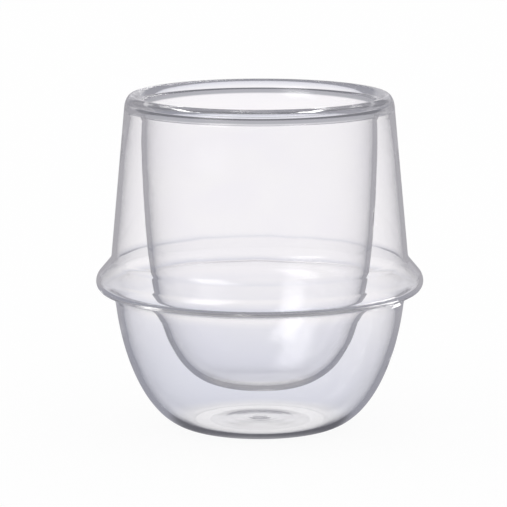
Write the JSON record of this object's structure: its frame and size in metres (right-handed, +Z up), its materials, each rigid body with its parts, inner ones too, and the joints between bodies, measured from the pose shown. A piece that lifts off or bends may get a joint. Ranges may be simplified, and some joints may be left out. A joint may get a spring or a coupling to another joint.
{
  "type": "double walled glass cup",
  "caption": "Round double walled glass cup with a leaning upper wall, a hollow collar, a rounded bowl and a small flat foot, made for hot or cold drinks.",
  "frame": {"origin": "middle of the foot, on the table", "axes": "+Z up along the cup's axis; the cup is round, so X and Y are any two level directions at right angles"},
  "size_m": [0.1, 0.1, 0.1024],
  "materials": {
    "clear_glass": "fire polished, clear"
  },
  "bodies": {
    "root": {"outer_shell": "clear_glass", "inner_vessel": "clear_glass", "rim_bead": "clear_glass", "vent_seal": "clear_glass"}
  },
  "joints": []
}
